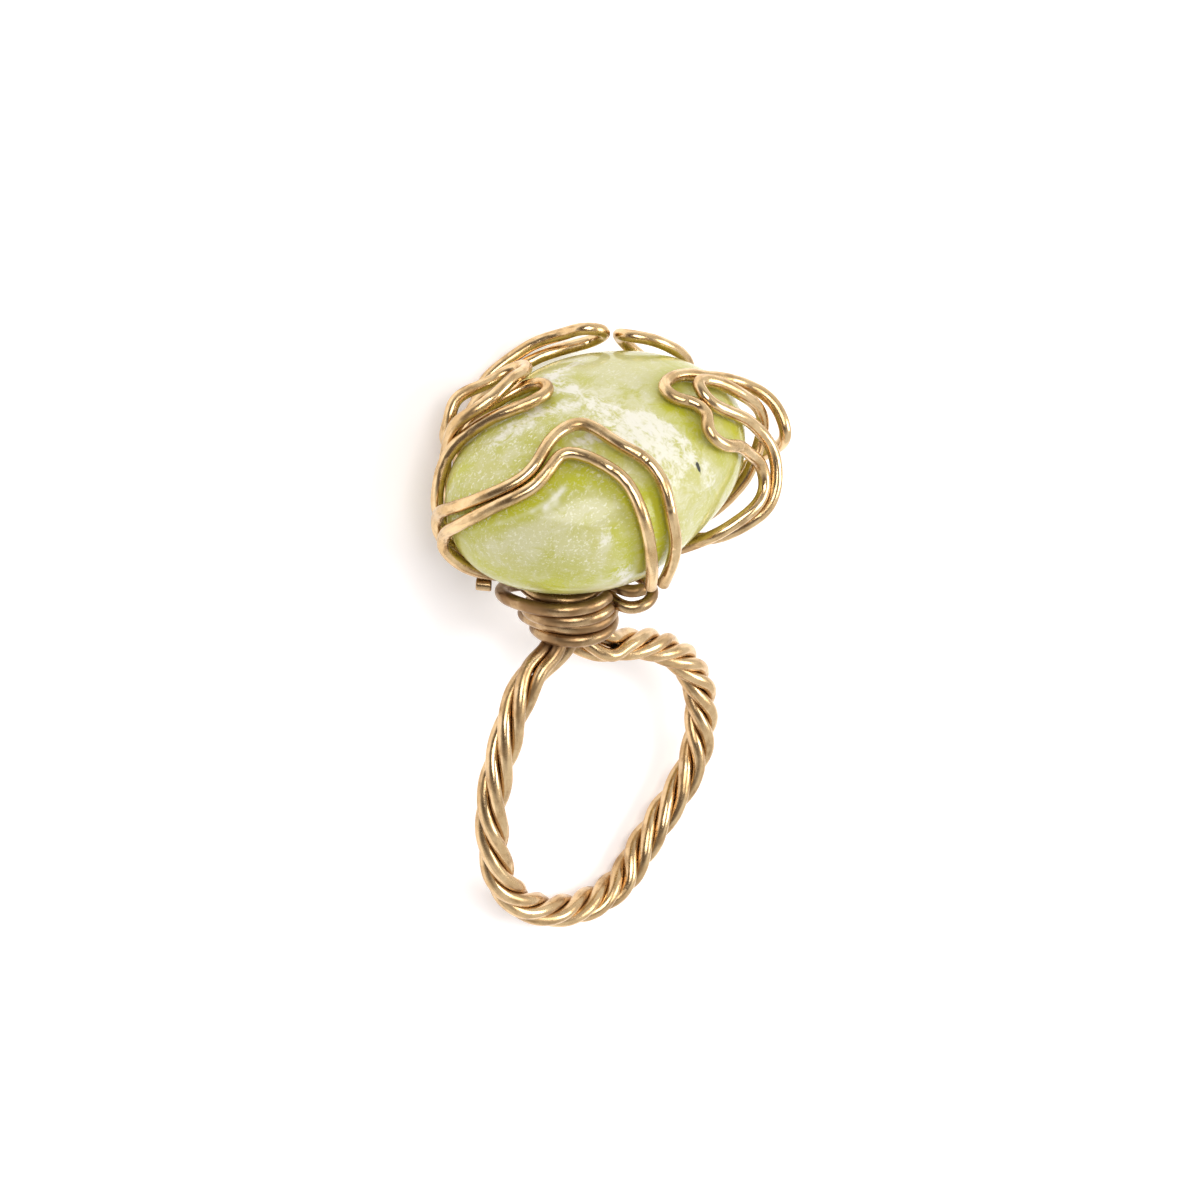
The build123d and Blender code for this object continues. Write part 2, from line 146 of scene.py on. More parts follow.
left_near_rows = [
    Stone(192, -50, 0.65), Stone(195, -42, 0.65), Stone(196, -33, 0.6), Stone(196, -20, 0.6),
    Stone(197, -8, 0.6), Stone(196, 3, 0.6), Stone(191, 13, 0.65), Stone(188, 23, 0.6),
    Stone(186, 33, 0.6), Stone(184, 46, 0.6), Stone(177, 57, 0.65), Stone(160, 62.5, 0.7),
    Stone(145, 56, 0.65), Stone(150, 46, 0.6), Stone(161, 37, 0.6), Stone(167, 28, 0.6),
    Stone(170, 15, 0.6), Stone(171, 0, 0.6), Stone(172.5, -18, 0.6), Stone(172.5, -36, 0.6),
]
left_far_rows = [
    Stone(179, -54, 0.65), Stone(182, -45, 0.65), Stone(184, -33, 0.6), Stone(184, -18, 0.6),
    Stone(184, -6, 0.6), Stone(183, 6, 0.75), Stone(184, 15, 1.05), Stone(186, 23, 1.65),
    Stone(186, 31, 1.8), Stone(181, 38, 1.85), Stone(171, 43.5, 1.95), Stone(157, 46, 1.90),
    Stone(142, 44.5, 1.5), Stone(131, 36, 1.2), Stone(137, 28.5, 1.35), Stone(149, 25.5, 1.8),
    Stone(159, 23.5, 2.35), Stone(167, 20.5, 2.6), Stone(173, 16.5, 2.1), Stone(173, 10, 1.8),
    Stone(168, 1, 1.6), Stone(164.5, -10, 0.9), Stone(163, -22, 0.6), Stone(163, -34, 0.6),
]
back_left_rows = [
    Stone(150, -62, 0.65), Stone(147, -47, 0.6), Stone(145.5, -30, 0.6), Stone(145, -14, 0.6),
    Stone(145, -2, 0.85), Stone(142.5, 6.5, 1.6), Stone(132, 12, 2.1),
    Stone(119, 16.5, 1.95), Stone(107, 20.8, 1.88), Stone(98, 24.5, 1.85), Stone(91, 28, 1.95),
    Stone(84.5, 27, 1.75), Stone(83, 21, 1.25), Stone(88, 17.5, 0.95), Stone(96, 18.5, 0.8),
    Stone(107, 19, 0.8), Stone(119, 16, 0.9), Stone(131, 14, 1.05), Stone(143, 14.5, 1.35),
    Stone(152, 12.5, 1.4), Stone(156, 4, 1.2), Stone(155, -7, 0.8), Stone(154, -20, 0.65),
]
back_right_rows = [
    Neck(36, 7.1, 0.4), Stone(58, -58, 0.65), Stone(57, -42, 0.65), Stone(56, -22, 0.65),
    Stone(55, -4, 0.65), Stone(56, 7, 0.65), Stone(58.5, 16, 0.7), Stone(64, 22, 1.0),
    Stone(73, 23.5, 1.2), Stone(77, 18, 1.2), Stone(75, 11, 0.85), Stone(69, 3, 0.65),
    Stone(68, -10, 0.65), Stone(69, -25, 0.65), Stone(70, -37, 0.65),
]
right_near_rows = [
    Stone(-13, -62, 0.70), Stone(-12, -54, 0.70), Stone(-10, -46, 0.65), Stone(-11, -34, 0.65),
    Stone(-11, -25, 0.9), Stone(-5, -18, 1.5), Stone(2, -13, 2.1), Stone(8, -9, 2.1),
    Stone(10, -3, 1.4), Stone(6, 4, 0.8), Stone(1, 11.5, 0.8), Stone(-6, 19, 0.8),
    Stone(-5, 26, 0.85), Stone(3, 28.5, 0.8), Stone(8, 33, 0.65), Stone(10, 40, 0.6),
    Stone(18, 44, 0.65), Stone(28, 40, 0.6), Stone(31, 32, 0.6), Stone(30, 24, 0.6),
    Stone(31, 16, 0.7), Stone(30, 10, 1.4), Stone(25, 5, 2.6), Stone(21, 0, 3.1),
    Stone(24, -7, 2.6), Stone(27, -14, 1.7), Stone(27, -23, 0.9), Stone(27, -34, 0.6),
    Stone(28, -44, 0.6),
]
right_far_rows = [
    Neck(12, 6.4, 0.3), Stone(7, -62, 0.65), Stone(5, -50, 0.65), Stone(2, -38, 1.0),
    Stone(1, -28, 1.7), Stone(3, -20, 2.4), Stone(7, -13.5, 3.0), Stone(12, -7, 2.75),
    Stone(15, 0, 1.95), Stone(15, 7, 1.1), Stone(12.5, 15.5, 0.75), Stone(10.5, 23, 0.75),
    Stone(12.5, 29.5, 1.0), Stone(19, 31.5, 1.2), Stone(23, 25, 1.15), Stone(22.5, 16, 1.0),
    Stone(23.5, 9, 1.2), Stone(23.5, 3, 1.4), Stone(21, -4, 1.1), Stone(17, -11, 0.8),
    Stone(15, -19, 0.65), Stone(14, -30, 0.65), Stone(14, -42, 0.65),
]
tail_rows = [Neck(137.5, 6.50, 1.70), Neck(137, 6.52, 2.30), Neck(136.5, 6.55, 2.90)]

# Side coil: its axis and radius in wires, then its climb by angle, in wires
side_x, side_y, side_reach = 1.12, -2.95, 1.76
Side = namedtuple("Side", "angle climb")
side_rows = [
    Side(-206, 5.46), Side(-180, 5.18), Side(-134, 4.80), Side(-90, 4.85), Side(-44, 5.20),
    Side(0, 5.60), Side(46, 5.98), Side(90, 6.27), Side(136, 6.53), Side(180, 6.46),
    Side(226, 6.20), Side(262, 6.25),
]


# Shapes

def ease(at, rows, column):
    """Cubic between neighbouring rows, with each row's slope taken from its two neighbours."""
    x = np.array([row[0] for row in rows], float)
    y = np.array([getattr(row, column) for row in rows], float)
    slope = np.gradient(y, x)
    i = np.clip(np.searchsorted(x, at) - 1, 0, len(x) - 2)
    h = x[i + 1] - x[i]
    t = np.clip((at - x[i]) / h, 0, 1)
    return (y[i] * (1 + 2 * t) * (1 - t) ** 2 + y[i + 1] * t * t * (3 - 2 * t)
            + h * (slope[i] * t * (1 - t) ** 2 + slope[i + 1] * t * t * (t - 1)))


lean, side = np.radians(stone_lean), np.radians(lean_side)
stone_up = np.array([np.sin(lean) * np.sin(side), -np.sin(lean) * np.cos(side), np.cos(lean)])
stone_right = np.array([np.cos(side), np.sin(side), 0])
stone_far = np.cross(stone_up, stone_right)
stone_middle = np.array([stone_x, stone_y, stone_rise])


def direction(turn, rise):
    """cos(rise)(cos(turn) right + sin(turn) far) + sin(rise) up, the stone's own axes."""
    t, p = np.radians(np.asarray(turn, float)), np.radians(np.asarray(rise, float))
    return ((np.cos(p) * np.cos(t))[..., None] * stone_right
            + (np.cos(p) * np.sin(t))[..., None] * stone_far + np.sin(p)[..., None] * stone_up)


def outline(turn):
    """Mean radius times one plus the sum of each wave's share of cos(count (turn - peak))."""
    return stone_across / 2 * (1 + sum(
        w.share * np.cos(np.radians(w.count * (turn - w.peak))) for w in outline_waves))


def stone_face(turn, rise):
    """Rounded ellipsoid: (cos(rise) r / outline)^n + (sin(rise) r / height)^n = 1, solved for r."""
    turn, rise = np.broadcast_arrays(np.asarray(turn, float), np.asarray(rise, float))
    height = np.where(rise > 0, stone_crown, stone_belly)
    p = np.radians(rise)
    reach = ((np.cos(p) / outline(turn)) ** stone_fullness
             + (abs(np.sin(p)) / height) ** stone_fullness) ** (-1 / stone_fullness)
    return stone_middle + reach[..., None] * direction(turn, rise)


def off_stone(row):
    """Point of the stone's face, moved out along its normal by the row's lift. The normal is
    across the two directions in which turn and rise grow."""
    along = stone_face(row.turn + face_step, row.rise) - stone_face(row.turn - face_step, row.rise)
    upward = stone_face(row.turn, row.rise + face_step) - stone_face(row.turn, row.rise - face_step)
    out = np.cross(along, upward)
    lift = row.lift * wire + gap / 2
    return stone_face(row.turn, row.rise) + lift * out / np.linalg.norm(out)


def off_neck(row):
    """Point on a circle round the neck's leaning axis, moved out by the row's distance."""
    reach, x, y = (wire * ease(row.climb, neck_profile, c) for c in ("reach", "x", "y"))
    a, r = np.radians(row.angle), reach + row.out * wire
    return np.array([x + r * np.cos(a), y + r * np.sin(a), neck_base + row.climb * wire])


def bent(rows):
    """Path of a bent wire: one point for each row, off the neck or off the stone."""
    return np.array([off_neck(r) if isinstance(r, Neck) else off_stone(r) for r in rows])


# Place on a rope's centre line: distance along it, position, turns of lay so far
Place = namedtuple("Place", "run x y z turns")


def strand(number):
    """Helix round the rope's centre line: centre + spread (cos(phase) side + sin(phase) up)."""
    middle = [(wire * c.x, wire * c.y, neck_base + wire * c.climb, c.turns) for c in core_rows]
    for row in rope_rows:
        a, r = np.radians(row.angle), loop_radius * row.reach
        middle.append((r * np.cos(a), 0, r * np.sin(a), row.turns))
    middle = np.array(middle)
    run = np.r_[0, np.cumsum(np.linalg.norm(np.diff(middle[:, :3], axis=0), axis=1))]
    table = [Place(*row) for row in np.c_[run, middle]]
    at = np.linspace(0, run[-1], int(run[-1] / point_step))
    x, y, z, turns = (ease(at, table, c) for c in ("x", "y", "z", "turns"))
    centre = np.c_[x, y, z]
    ahead = np.gradient(centre, at, axis=0)
    ahead /= np.linalg.norm(ahead, axis=1, keepdims=True)
    beside = np.cross([0, 1, 0], ahead)
    beside /= np.linalg.norm(beside, axis=1, keepdims=True)
    lay = 2 * np.pi * np.gradient(turns, at) * rope_spread
    spread = rope_spread + lay_room * pitch * np.clip(lay, 0, lay_limit) ** 2
    phase = np.radians(lay_start + number * 90) - 2 * np.pi * turns
    return (centre + (spread * np.cos(phase))[:, None] * beside
            + (spread * np.sin(phase))[:, None] * np.cross(ahead, beside))


def winding(number):
    """Rising arc round the neck, its climb shared between the rows' low and high by level."""
    level = coil_order[number]
    last = coil_ends[level]
    turns = np.linspace(coil_start, last, 2 + int((last - coil_start) / coil_turn))
    wound = []
    for angle in turns:
        low, high = (ease(angle, coil_rows, c) for c in ("low", "high"))
        climb = low + (high - low) * level / (len(coil_order) - 1)
        out = level % 2 * coil_stagger * np.interp(angle, coil_inward, [1, 0])
        wound.append(off_neck(Neck(angle, climb, out)))
    end, before = strand(number)[[-1, -2]]
    ahead = (end - before) / np.linalg.norm(end - before)
    return np.vstack([end + pitch * ahead, wound])


def side_coil_path():
    """Circle about the side axis whose climb is read from the rows by angle."""
    first, last = side_rows[0].angle, side_rows[-1].angle
    angles = np.linspace(first, last, 2 + int((last - first) / coil_turn))
    a, climb = np.radians(angles), ease(angles, side_rows, "climb")
    return wire * np.c_[side_x + side_reach * np.cos(a), side_y + side_reach * np.sin(a),
                        neck_base / wire + climb]


def smooth_line(points, step):
    """Natural cubic spline through the points, by distance along them, read at every step."""
    run = np.r_[0, np.cumsum(np.linalg.norm(np.diff(points, axis=0), axis=1))]
    h = np.diff(run)
    system = np.diag(np.r_[1, 2 * (h[1:] + h[:-1]), 1])
    system += np.diag(np.r_[h[:-1], 0], -1) + np.diag(np.r_[0, h[1:]], 1)
    rates = np.diff(points, axis=0) / h[:, None]
    straight = np.zeros(3)
    bend = np.linalg.solve(system, np.vstack([straight, 6 * np.diff(rates, axis=0), straight]))
    at = np.linspace(0, run[-1], int(run[-1] / step) + 1)
    i = np.clip(np.searchsorted(run, at) - 1, 0, len(h) - 1)
    b = ((at - run[i]) / h[i])[:, None]
    a, w = 1 - b, h[i][:, None] ** 2 / 6
    return (a * points[i] + b * points[i + 1]
            + w * ((a ** 3 - a) * bend[i] + (b ** 3 - b) * bend[i + 1]))


# The ring's place in the frame

back, over = np.radians(lies_back), np.radians(lies_over)
down = np.array([np.sin(over) * np.cos(back), np.cos(over) * np.cos(back), -np.sin(back)])
toward_stone = np.array([0, 0, 1]) - down * down[2]
toward_stone /= np.linalg.norm(toward_stone)
across = np.cross(toward_stone, -down)
lying = np.array([across, toward_stone, -down])

# The stone laid down tells how far the lying ring is from its home in the frame
all_turns, all_rises = np.meshgrid(np.arange(0, 360, face_step), np.linspace(-90, 90, 361))
laid_stone = stone_face(all_turns, all_rises).reshape(-1, 3) @ lying.T
stone_low, stone_high = (np.array(corner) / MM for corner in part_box("stone"))
home = (stone_low + stone_high) / 2 - (laid_stone.min(axis=0) + laid_stone.max(axis=0)) / 2


def to_frame(points):
    """Upright millimetres to the frame's metres: turned by the lying axes, then moved home."""
    return (points @ lying.T + home) * MM


# Meshes

def skin(name, grid, finish, nodes, marks):
    """Closed surface over a grid of points, rows by places round, with a fan at each end."""
    rows, around = grid.shape[:2]
    index = np.arange(rows * around).reshape(rows, around)
    beside = np.roll(index, -1, axis=1)
    quads = np.stack([index[:-1], beside[:-1], beside[1:], index[1:]], axis=-1).reshape(-1, 4)
    first = np.stack([np.full(around, rows * around), beside[0], index[0]], axis=-1)
    last = np.stack([np.full(around, rows * around + 1), index[-1], beside[-1]], axis=-1)
    points = np.vstack([grid.reshape(-1, 3), grid[0].mean(axis=0), grid[-1].mean(axis=0)])
    mesh = bpy.data.meshes.new(name)
    mesh.from_pydata(to_frame(points).tolist(), [],
                     quads.tolist() + first.tolist() + last.tolist())
    mesh.polygons.foreach_set("use_smooth", np.ones(len(mesh.polygons), bool))
    for mark, values in marks.items():
        flat = values.reshape(rows * around, -1)
        flat = np.vstack([flat, flat[:around].mean(axis=0), flat[-around:].mean(axis=0)])
        kind, field = ("FLOAT", "value") if flat.shape[1] == 1 else ("FLOAT_VECTOR", "vector")
        mesh.attributes.new(mark, kind, "POINT").data.foreach_set(
            field, flat.astype(np.float32).ravel())
    mesh.materials.append(finish)
    mesh.update()
    piece = bpy.data.objects.new(name, mesh)
    bpy.context.scene.collection.objects.link(piece)
    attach(piece, "root")
    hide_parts(*nodes)
    return piece


# Materials

# Noise patterns: grains to a millimetre, layers of finer grain, their roughness, warp
Pattern = namedtuple("Pattern", "scale detail rough warp")
metal_clouds = Pattern(0.55, 4.0, 0.60, 0.0)
metal_grain = Pattern(6.0, 5.0, 0.65, 0.0)
metal_pits = Pattern(14.0, 2.0, 0.50, 0.0)
draw_lines = Pattern(9.0, 4.0, 0.70, 0.0)
tarnish_streaks = Pattern(3.0, 3.0, 0.60, 0.0)
uneven_wire = Pattern(1.3, 2.0, 0.50, 0.0)
stone_depths = Pattern(0.22, 3.0, 0.50, 0.4)
stone_clouds = Pattern(0.75, 7.0, 0.62, 0.7)
stone_grain = Pattern(4.5, 4.0, 0.60, 0.0)
feathers = Pattern(1.0, 9.0, 0.72, 1.2)
flecks = Pattern(1.0, 6.0, 0.66, 0.9)
fibres = Pattern(1.0, 5.0, 0.60, 1.6)
dot_spacing = 2.3                               # dots to a millimetre

# How a pattern of the stone is drawn out: direction in radians, length and width of a grain
Lie = namedtuple("Lie", "turn long wide")
feather_lie = Lie(-0.75, 1.7, 0.60)
fleck_lie = Lie(0.9, 0.60, 0.20)
fibre_lie = Lie(-0.35, 2.2, 0.8)

# A bronze wire's finish: tones of the bare metal, the colour of its tarnish and of the painted
# shade in its crevices, the share of that painted shade in the crevices, least roughness
Finish = namedtuple("Finish", "bright warm tarnish depth satin")
claw_finish = Finish((0.80, 0.585, 0.325), (0.62, 0.415, 0.195), (0.21, 0.115, 0.046), 0.65, 0.08)
rope_finish = Finish((0.75, 0.54, 0.300), (0.56, 0.365, 0.175), (0.24, 0.135, 0.060), 0.42, 0.10)
stain_share, pit_share = 0.60, 0.5              # tarnish in the streaks and in the pits
relief_height = 0.016 * MM                      # of the draw lines and the grain

# Colours of the stone
olive, light_olive = (0.47, 0.462, 0.105), (0.53, 0.51, 0.190)
# clear green also stands for painted shade beside the wires, milky green also for painted light
# from the floor low on the stone's front
clear_and_shaded_green, milky_and_floor_lit_green = (0.48, 0.485, 0.035), (0.59, 0.57, 0.33)
haze_white, vein_white = (0.68, 0.66, 0.50), (0.78, 0.76, 0.67)
fibre_white, dot_white = (0.80, 0.79, 0.64), (0.86, 0.85, 0.74)
inclusion_grey = (0.06, 0.06, 0.05)
# and how far each covers what lies under it where it is strongest; the last is painted shade
# beside the wires
milk_share, haze_share, vein_share, fibre_share, wire_shade_share = 0.75, 0.75, 0.88, 0.8, 0.75
dot_radius = 0.15                               # of the largest dot, as a share of the spacing


def tree_of(name):
    """A new material, its nodes and its surface shader."""
    material = bpy.data.materials.new(name)
    material.use_nodes = True
    tree = material.node_tree
    return material, tree, tree.nodes["Principled BSDF"]


def node(tree, kind, sockets=None, **settings):
    """A node with its settings, and each socket either set or linked."""
    made = tree.nodes.new("ShaderNode" + kind)
    for key, value in settings.items():
        setattr(made, key, value)
    for socket, value in (sockets or {}).items():
        if isinstance(value, bpy.types.NodeSocket):
            tree.links.new(value, made.inputs[socket])
        else:
            made.inputs[socket].default_value = value
    return made


def noise(tree, at, pattern):
    """Noise of a pattern at coordinates in millimetres."""
    return node(tree, "TexNoise", {
        "Vector": at, "Scale": pattern.scale, "Detail": pattern.detail,
        "Roughness": pattern.rough, "Distortion": pattern.warp}).outputs["Fac"]


def scaled(tree, at, scale):
    """Coordinates multiplied by a factor for each axis."""
    return node(tree, "Mapping", {"Vector": at, "Scale": scale}).outputs["Vector"]


def stretched(tree, at, lie):
    """Coordinates whose pattern is drawn out along a direction in the first two axes."""
    return node(tree, "Mapping", {
        "Vector": at, "Rotation": (0, 0, lie.turn), "Scale": (lie.long, lie.wide, lie.wide)},
        vector_type="TEXTURE").outputs[0]


def maths(tree, operation, *values, clamp=False):
    """One operation on its values: MULTIPLY_ADD is the first times the second, plus the
    third."""
    return node(tree, "Math", dict(enumerate(values)), operation=operation,
                use_clamp=clamp).outputs[0]


def band(tree, value, low, high):
    """Smooth step from 0 at low to 1 at high."""
    made = node(tree, "MapRange", {"Value": value, "From Min": low, "From Max": high},
                interpolation_type="SMOOTHSTEP")
    return made.outputs["Result"]


def mix(tree, share, first, second):
    """Colour that goes from the first at share 0 to the second at share 1."""
    made = tree.nodes.new("ShaderNodeMix")
    made.data_type = "RGBA"
    for socket, value in ((made.inputs[0], share), (made.inputs[6], first),
                          (made.inputs[7], second)):
        if isinstance(value, bpy.types.NodeSocket):
            tree.links.new(value, socket)
        else:
            socket.default_value = (*value, 1)
    return made.outputs[2]


def mark(tree, name, output):
    """What the mesh carries under a name: a number by Fac, coordinates by Vector."""
    return node(tree, "Attribute", attribute_name=name).outputs[output]


def bronze(name, finish):
    """Drawn and bent bronze: lengthwise draw lines, warm cloudy tone, painted shade in the
    crevices in a tarnished brown, tarnished streaks, small dark pits and duller patches."""
    material, tree, surface = tree_of(name)
    place = scaled(tree, node(tree, "TexCoord").outputs["Object"], (1 / MM,) * 3)
    grain = mark(tree, "grain", "Vector")
    # near is the painted shade where the wire comes close to other wires and to the stone
    near, age = mark(tree, "near", "Fac"), mark(tree, "age", "Fac")
    cloud = noise(tree, place, metal_clouds)
    fine = noise(tree, place, metal_grain)
    lines = noise(tree, scaled(tree, grain, (1, 1, 0.05)), draw_lines)
    streak = noise(tree, scaled(tree, grain, (1, 1, 0.22)), tarnish_streaks)
    waver = noise(tree, scaled(tree, grain, (1, 1, 0.5)), uneven_wire)

    # Darkening is the most of the painted shade in the crevices and the tarnish of the streaks,
    # age and pits
    painted_crevice_shade = maths(tree, "MULTIPLY", near, band(tree, fine, 0.25, 0.7))
    stain = maths(tree, "MULTIPLY", band(tree, streak, 0.48, 0.64),
                  maths(tree, "MULTIPLY_ADD", band(tree, cloud, 0.4, 0.7), 0.6, 0.4))
    tarnish_and_shade = maths(tree, "MAXIMUM", maths(tree, "MULTIPLY", painted_crevice_shade, finish.depth),
                 maths(tree, "MULTIPLY", stain, stain_share))
    dull = maths(tree, "MULTIPLY_ADD", band(tree, cloud, 0.3, 0.6), 0.40, 0.46)
    tarnish_and_shade = maths(tree, "MAXIMUM", tarnish_and_shade, maths(tree, "MULTIPLY", age, dull))
    pits = band(tree, noise(tree, place, metal_pits), 0.70, 0.78)
    tarnish_and_shade = maths(tree, "MAXIMUM", tarnish_and_shade, maths(tree, "MULTIPLY", pits, pit_share), clamp=True)
    tone = mix(tree, band(tree, cloud, 0.35, 0.68), finish.bright, finish.warm)
    tree.links.new(mix(tree, tarnish_and_shade, tone, finish.tarnish), surface.inputs["Base Color"])
    surface.inputs["Metallic"].default_value = 1.0

    # Rougher in the fine grain, the tarnish and the painted crevice shade, and the clouds
    rough = maths(tree, "MULTIPLY_ADD", fine, 0.20, finish.satin)
    rough = maths(tree, "MULTIPLY_ADD", tarnish_and_shade, 0.14, rough)
    rough = maths(tree, "MULTIPLY_ADD", band(tree, cloud, 0.45, 0.62), 0.12, rough)
    tree.links.new(rough, surface.inputs["Roughness"])

    # Draw lines and fine grain on a wire that is a little uneven
    relief = maths(tree, "MULTIPLY_ADD", lines, 0.35, maths(tree, "MULTIPLY", fine, 0.5))
    relief = maths(tree, "MULTIPLY_ADD", waver, 6.0, relief)
    bump = node(tree, "Bump", {"Height": relief, "Strength": 0.5, "Distance": relief_height})
    tree.links.new(bump.outputs["Normal"], surface.inputs["Normal"])
    return material


def serpentine(name):
    """Polished green serpentine: olive ground with milky clouds, deep clear green, a feathery
    white vein, fibres, flecks and specks, and a grey inclusion. Painted shade deepens the green
    beside the wires, and painted light from the floor makes the lower front edge milkier."""
    material, tree, surface = tree_of(name)
    place = mark(tree, "stone_place", "Vector")
    # beside is painted shade by the wires, deep partly too, pale partly painted light from the
    # floor
    white, haze, speck, deep_and_shade, pale, edge, dark, beside = (mark(tree, key, "Fac") for key in (
        "white", "haze", "speck", "deep_and_shade", "pale", "edge", "dark", "beside"))
    broad = noise(tree, place, stone_depths)
    cloud = noise(tree, place, stone_clouds)
    fine = noise(tree, place, stone_grain)
    feather = noise(tree, stretched(tree, place, feather_lie), feathers)
    fleck = noise(tree, stretched(tree, place, fleck_lie), flecks)
    fibre = noise(tree, stretched(tree, place, fibre_lie), fibres)

    # Olive ground, and milk and haze over it, the milk holding painted light along the lower front
    # edge; clear green where the stone is deep, and as painted shade beside the wires
    colour = mix(tree, band(tree, broad, 0.40, 0.62), olive, light_olive)
    milk_and_floor_light = maths(tree, "MAXIMUM",
                 maths(tree, "MULTIPLY", band(tree, cloud, 0.42, 0.68), milk_share),
                 maths(tree, "MULTIPLY", pale, band(tree, cloud, 0.28, 0.5)))
    colour = mix(tree, milk_and_floor_light, colour, milky_and_floor_lit_green)
    patchy = maths(tree, "MULTIPLY_ADD", cloud, 4.0, -1.6)
    veiled = maths(tree, "MULTIPLY", haze, patchy, clamp=True)
    colour = mix(tree, maths(tree, "MULTIPLY", veiled, haze_share), colour, haze_white)
    clear_and_shade = maths(tree, "MULTIPLY", deep_and_shade,
                  maths(tree, "MULTIPLY_ADD", band(tree, cloud, 0.66, 0.46), 0.45, 0.6))
    # Painted shade on the stone beside the wires, in the clear green
    painted_wire_shade = maths(tree, "MULTIPLY", beside, wire_shade_share)
    clear_and_shade = maths(tree, "MAXIMUM", clear_and_shade, painted_wire_shade, clamp=True)
    colour = mix(tree, clear_and_shade, colour, clear_and_shaded_green)

    # The white vein, frayed by three noises
    vein = maths(tree, "MULTIPLY_ADD", white, 0.85, maths(tree, "MULTIPLY_ADD", feather, 3.4, -1.7))
    vein = maths(tree, "ADD", vein, maths(tree, "MULTIPLY_ADD", cloud, 2.6, -1.3))
    vein = maths(tree, "ADD", vein, maths(tree, "MULTIPLY_ADD", fine, 1.2, -0.6))
    vein = maths(tree, "MULTIPLY", band(tree, vein, 0.05, 1.05), band(tree, white, 0.02, 0.25))
    colour = mix(tree, maths(tree, "MULTIPLY", vein, vein_share), colour, vein_white)

    # Thin fibres where that noise crosses a half, short strokes, and the bright seam
    thin = maths(tree, "ABSOLUTE", maths(tree, "SUBTRACT", fibre, 0.5))
    thread = maths(tree, "MULTIPLY", band(tree, thin, 0.016, 0.003),
                   band(tree, feather, 0.47, 0.60))
    thread = maths(tree, "MULTIPLY", thread, 0.55)
    strokes = maths(tree, "MULTIPLY", band(tree, fleck, 0.52, 0.62), band(tree, fine, 0.42, 0.56))
    strokes = maths(tree, "MULTIPLY", strokes, maths(tree, "MULTIPLY_ADD", speck, 1.0, 0.10))
    light = maths(tree, "MAXIMUM", maths(tree, "MAXIMUM", thread, strokes), edge, clamp=True)
    colour = mix(tree, maths(tree, "MULTIPLY", light, fibre_share), colour, fibre_white)

    # Dots as wide as the clouds allow, and the inclusion
    dots = node(tree, "TexVoronoi", {"Vector": place, "Scale": dot_spacing, "Randomness": 1.0})
    size = maths(tree, "MULTIPLY", band(tree, cloud, 0.42, 0.66), dot_radius)
    dot = band(tree, maths(tree, "SUBTRACT", size, dots.outputs["Distance"]), 0.0, 0.03)
    dot = maths(tree, "MULTIPLY", dot, maths(tree, "MULTIPLY_ADD", speck, 0.7, 0.15))
    colour = mix(tree, dot, colour, dot_white)
    smudge = maths(tree, "ADD", dark, maths(tree, "MULTIPLY_ADD", fine, 0.5, -0.25))
    colour = mix(tree, band(tree, smudge, 0.35, 0.75), colour, inclusion_grey)
    tree.links.new(colour, surface.inputs["Base Color"])

    # A waxy polish over a slightly translucent body
    surface.inputs["IOR"].default_value = 1.57
    surface.inputs["Specular IOR Level"].default_value = 0.28
    surface.inputs["Subsurface Weight"].default_value = 0.30
    surface.inputs["Subsurface Radius"].default_value = (1.0, 1.0, 0.45)
    surface.inputs["Subsurface Scale"].default_value = 0.9 * MM
    rough = maths(tree, "MULTIPLY_ADD", cloud, 0.10, 0.10)
    tree.links.new(rough, surface.inputs["Roughness"])
    bump = node(tree, "Bump", {"Height": broad, "Strength": 0.12, "Distance": 0.12 * MM})
    tree.links.new(bump.outputs["Normal"], surface.inputs["Normal"])
    return material


claw_bronze = bronze("claw_bronze", claw_finish)
rope_bronze = bronze("rope_bronze", rope_finish)
green_serpentine = serpentine("green_serpentine")


# Wires

line_step = 0.09            # between a visible wire's rings
around = 32                 # places round a wire
cut_round = 0.09            # rounding of a cut end
end_rings = [0, 0.1, 0.3, 0.6]                  # where its rings lie, as a share of the rounding
rope_swell = 1.07           # the rope's wires are pressed together
hint_rings = 20             # rings over which the measure round a rope's wire turns
sway, sway_rates = 0.018, (1.5, 1.1)            # sideways waver, and its radians a millimetre
thick_thin, thick_rates = 0.012, (2.3, 0.7)     # share by which a wire's radius wavers, and its
crevice_shade_fade = 0.22            # clearance over which the painted shade in the crevices fades
stone_fade = 1.3            # it fades this much faster from the stone
batch = 4000                # points compared with the wires at once
Age = namedtuple("Age", "start rise end fall")
age = Age(-0.2, 1.5, 2.0, 2.5)                  # tarnish of the neck, past its foot and its top


def unit(vectors):
    """Vectors of length 1."""
    return vectors / np.linalg.norm(vectors, axis=-1, keepdims=True)


strand_lines = [smooth_line(np.vstack([strand(n), winding(n)]), line_step) for n in range(4)]
claw_paths = {
    "front_claw_outer": bent(front_outer_rows), "front_claw_inner": bent(front_inner_rows),
    "left_claw_near": bent(left_near_rows), "left_claw_far": bent(left_far_rows),
    "back_claw_left": bent(back_left_rows), "back_claw_right": bent(back_right_rows),
    "right_claw_near": bent(right_near_rows), "right_claw_far": bent(right_far_rows),
    "side_coil": side_coil_path(), "wire_tail": bent(tail_rows),
}
lines = {f"rope_wire_{n + 1}": strand_lines[n] for n in range(4)}
lines |= {f"{key}_wire": smooth_line(path, line_step) for key, path in claw_paths.items()}


def to_lines(points, others):
    """Distance of each point to the nearest of the others: |p|^2 + |q|^2 - 2 p.q, its root."""
    closest = np.empty(len(points))
    for part in np.array_split(np.arange(len(points)), max(1, len(points) // batch)):
        square = ((points[part] ** 2).sum(axis=1)[:, None] + (others ** 2).sum(axis=1)
                  - 2 * points[part] @ others.T)
        closest[part] = np.sqrt(np.maximum(square.min(axis=1), 0))
    return closest


